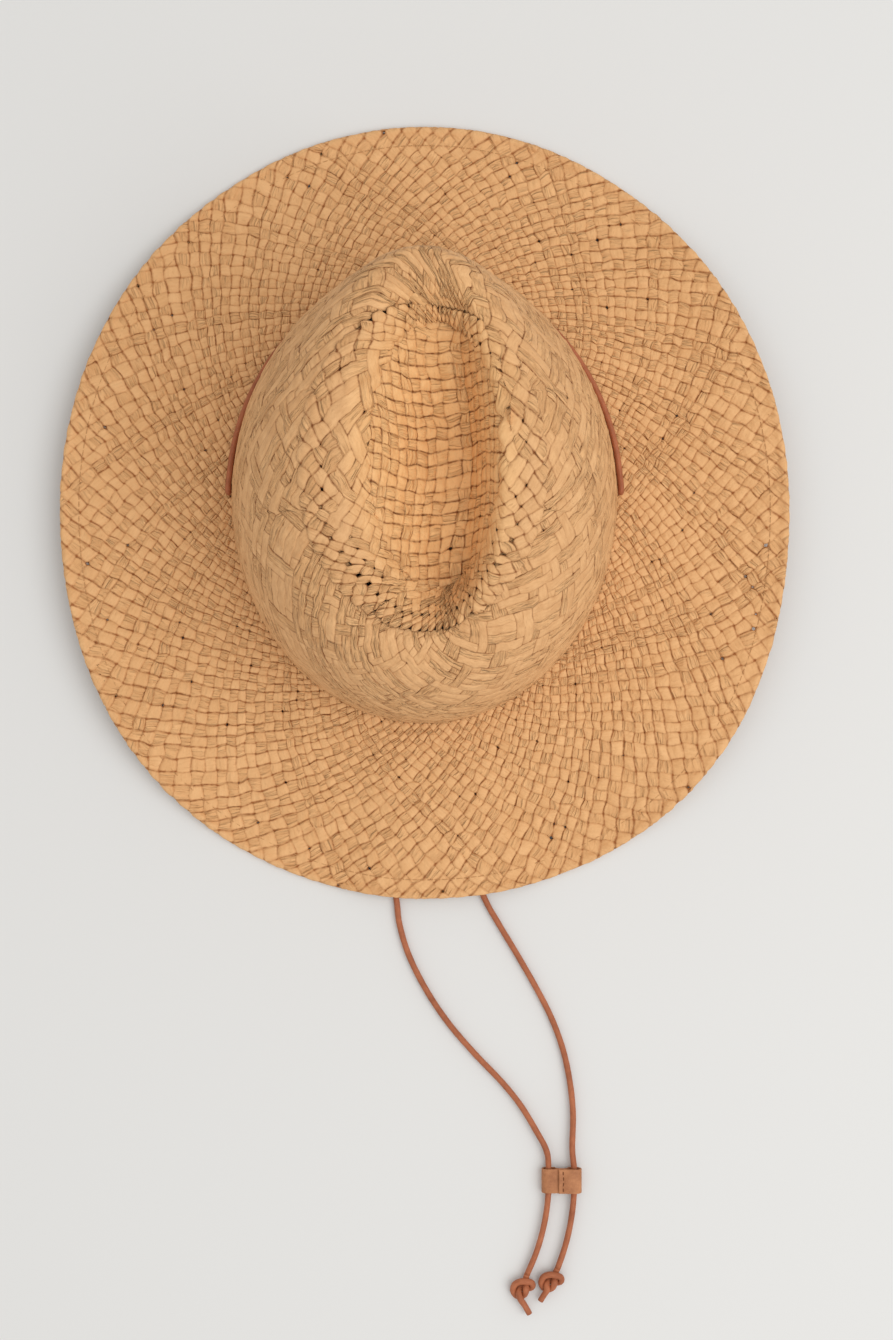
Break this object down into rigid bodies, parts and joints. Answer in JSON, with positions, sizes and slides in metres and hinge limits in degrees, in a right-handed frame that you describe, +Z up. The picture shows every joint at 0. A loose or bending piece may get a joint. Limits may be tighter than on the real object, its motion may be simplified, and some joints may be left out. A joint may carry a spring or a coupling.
{
  "type": "straw sun hat",
  "caption": "Wide-brimmed woven straw sun hat with a teardrop-dented crown, wired hem, sweatband and a leather chin cord with a sliding keeper.",
  "frame": {"origin": "centre of the hat's bounding box in plan, on the surface that the brim rests on", "axes": "+Y to the front of the hat, +X to the wearer's right, +Z up through the crown"},
  "size_m": [0.3376, 0.5574, 0.121],
  "materials": {
    "crown_straw": "woven paper straw, matt",
    "brim_straw": "plain-woven paper straw, matt",
    "brim_wire": "drawn wire",
    "sweatband": "ribbed cotton band",
    "cord_leather": "round leather cord, matt",
    "slider_leather": "flat leather strip, napped"
  },
  "bodies": {
    "hat": {"crown": "crown_straw", "crown_top": "crown_straw", "brim": "brim_straw", "brim_wire": "brim_wire", "sweatband": "sweatband", "chin_cord_front": "cord_leather", "chin_cord_left": "cord_leather", "chin_cord_right": "cord_leather", "left_knot": "cord_leather", "right_knot": "cord_leather"},
    "slider": {"cord_slider": "slider_leather"}
  },
  "joints": [
    {"name": "slider_slide", "type": "hinge", "parent": "hat", "child": "slider", "pos_m": [-0.0433, -0.313, 0], "axis": [0, 0, 1], "range_deg": [-18, 4]}
  ]
}
